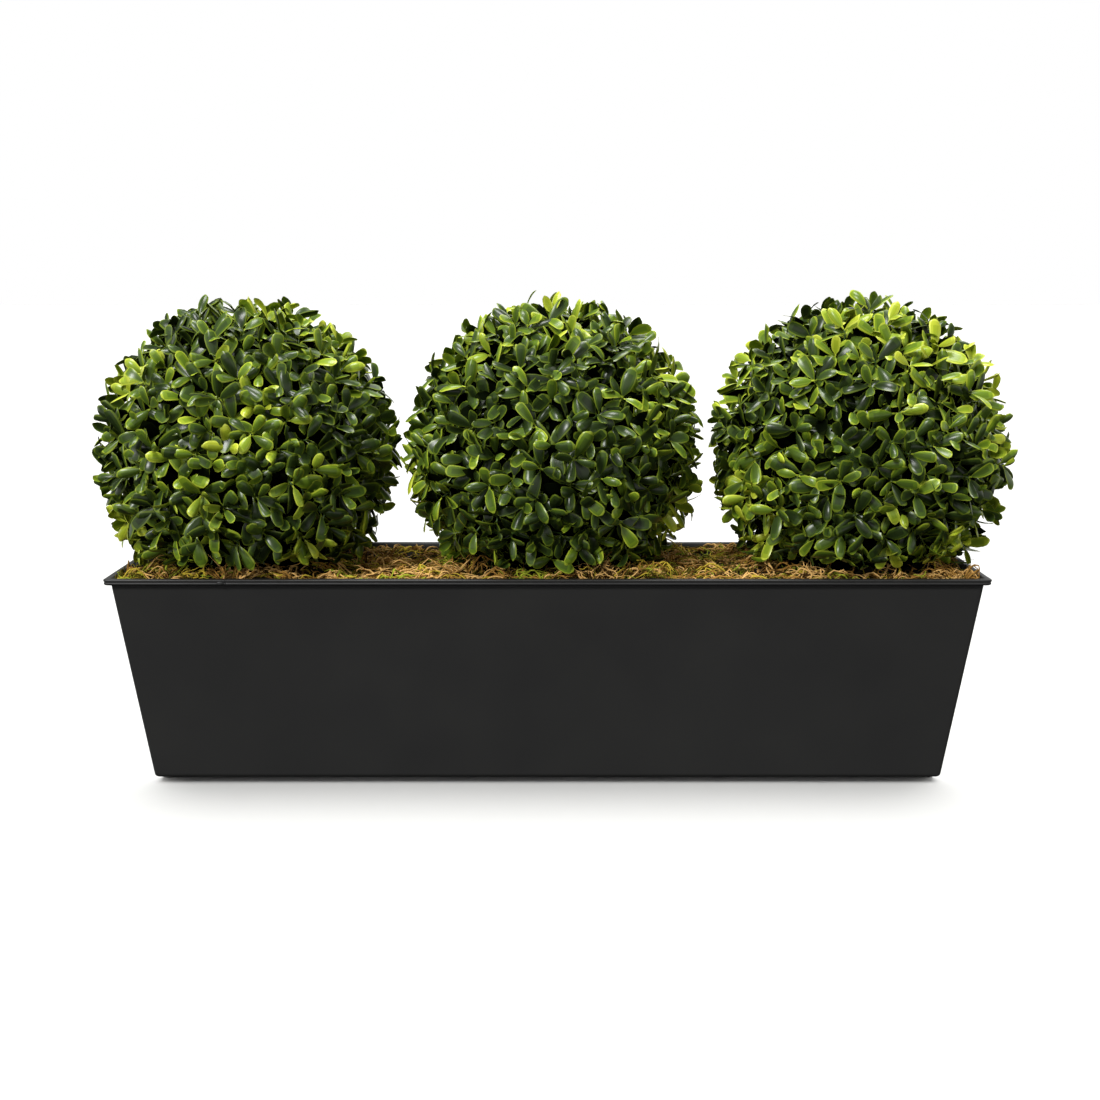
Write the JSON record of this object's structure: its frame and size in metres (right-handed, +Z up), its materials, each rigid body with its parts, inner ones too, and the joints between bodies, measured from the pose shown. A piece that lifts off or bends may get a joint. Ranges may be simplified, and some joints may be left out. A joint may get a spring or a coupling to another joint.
{
  "type": "artificial triple ball topiary",
  "caption": "Artificial boxwood topiary: clipped leaf balls in a row on a bed of moss that fills a long tapered metal planter with a rolled rim, for display on a table or sill.",
  "frame": {"origin": "middle of the planter's flat underside", "axes": "+Z up, +X along the planter, -Y towards the front"},
  "size_m": [0.9047, 0.3082, 0.4654],
  "materials": {
    "painted_steel": "satin",
    "moss": "matte",
    "peg_wood": "matte",
    "leaf_plastic": "satin"
  },
  "bodies": {
    "root": {"planter": "painted_steel", "moss_bed": "moss", "stem_left": "peg_wood", "stem_middle": "peg_wood", "stem_right": "peg_wood", "ball_left": "leaf_plastic", "ball_middle": "leaf_plastic", "ball_right": "leaf_plastic"}
  },
  "joints": []
}
